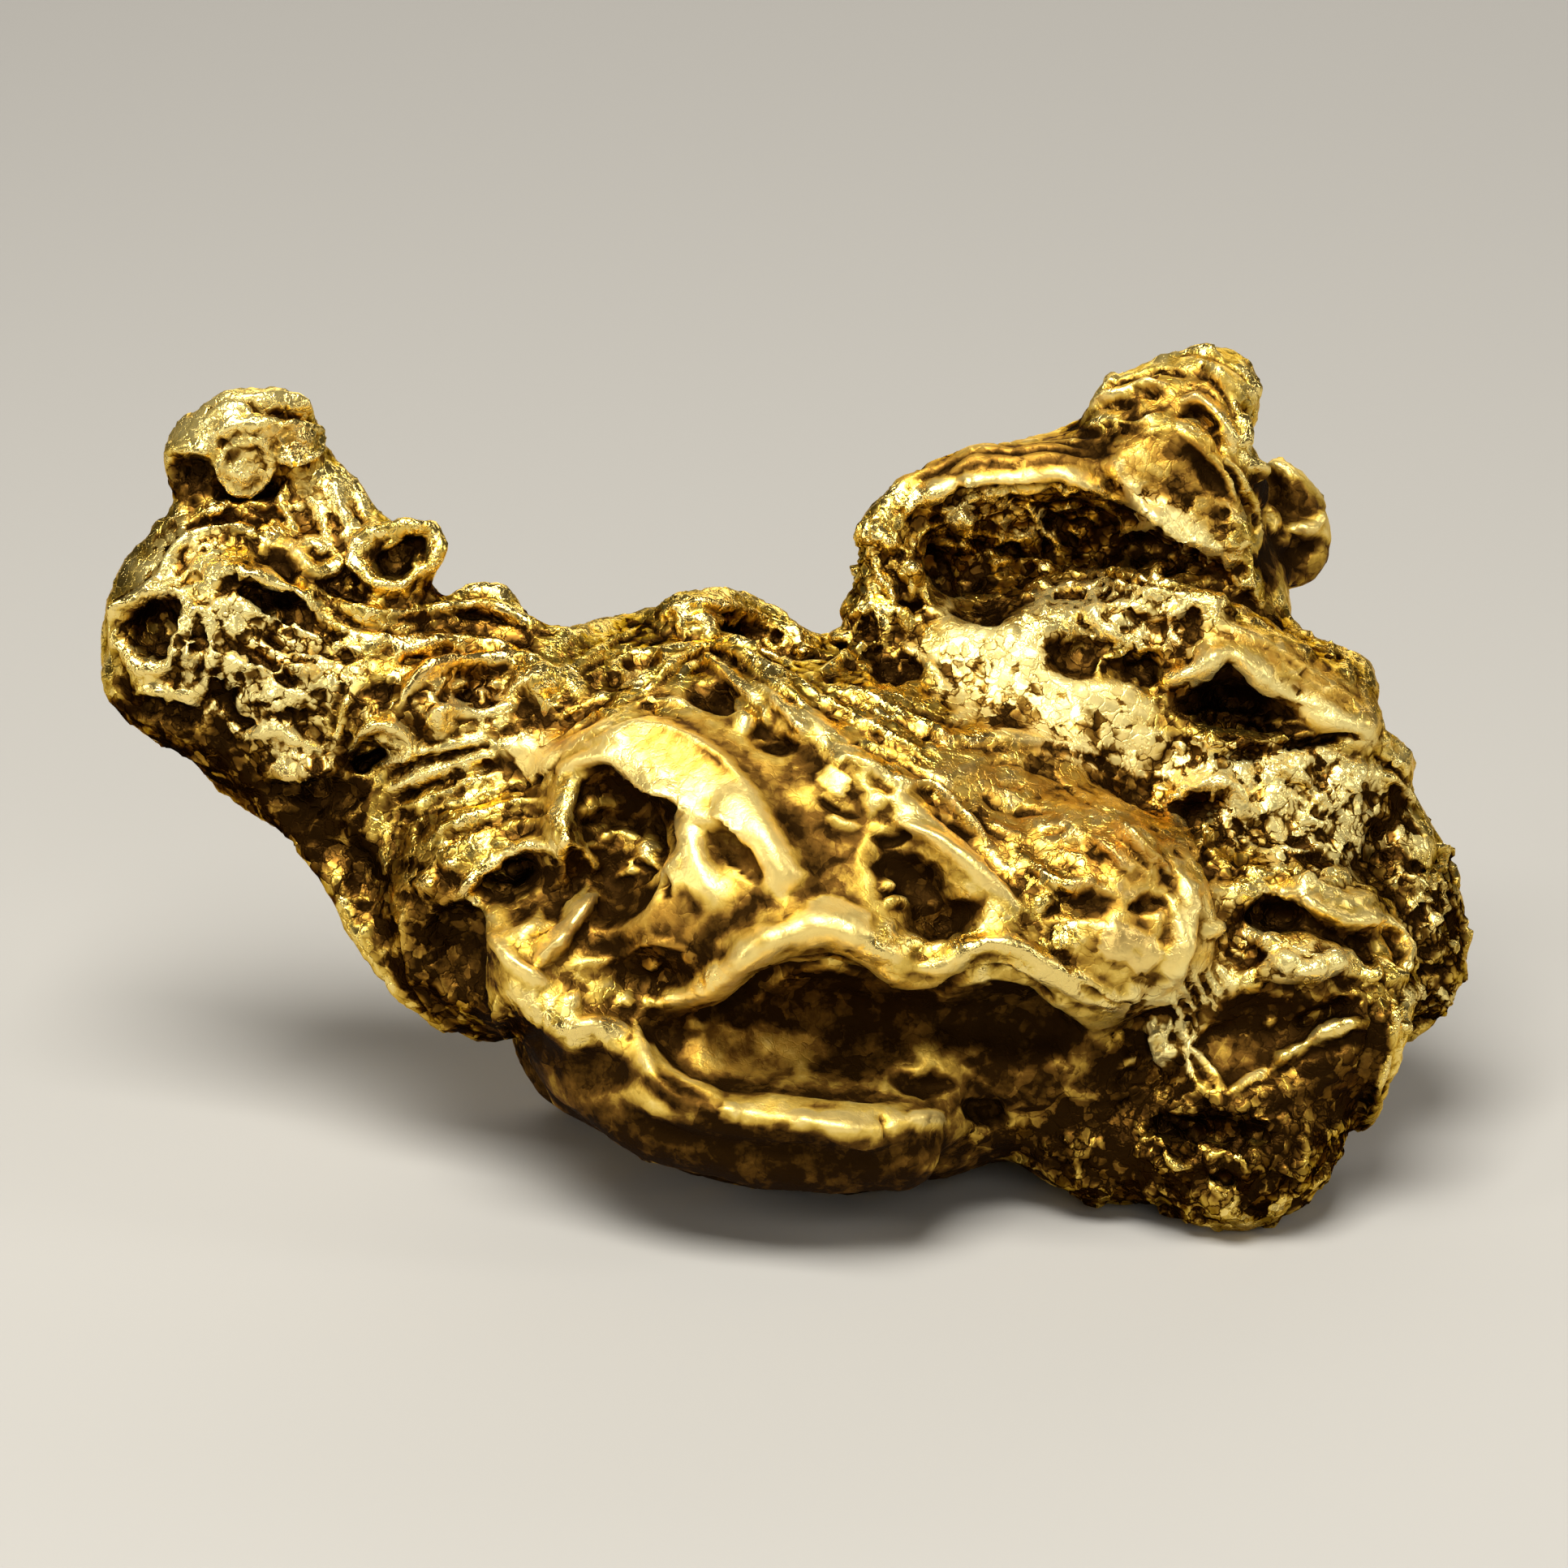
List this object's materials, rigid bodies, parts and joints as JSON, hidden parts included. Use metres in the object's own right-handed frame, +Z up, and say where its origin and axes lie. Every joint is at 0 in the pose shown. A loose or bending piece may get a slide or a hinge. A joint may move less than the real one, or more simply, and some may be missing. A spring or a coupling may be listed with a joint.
{
  "type": "gold nugget",
  "caption": "Natural gold nugget with a knobbed arm, a hollow horn, a pitted body and a lipped ledge, lying on worn feet.",
  "frame": {"origin": "on the ground, under the middle of the nugget's box", "axes": "+Z up, +X across the nugget from the arm's end to the right block, -Y towards the face with the ledge"},
  "size_m": [0.025, 0.0124, 0.0141],
  "materials": {
    "native_gold": "water-worn native gold, satin to bright on the ridges and brown-stained in the hollows"
  },
  "bodies": {
    "root": {"nugget": "native_gold"}
  },
  "joints": []
}
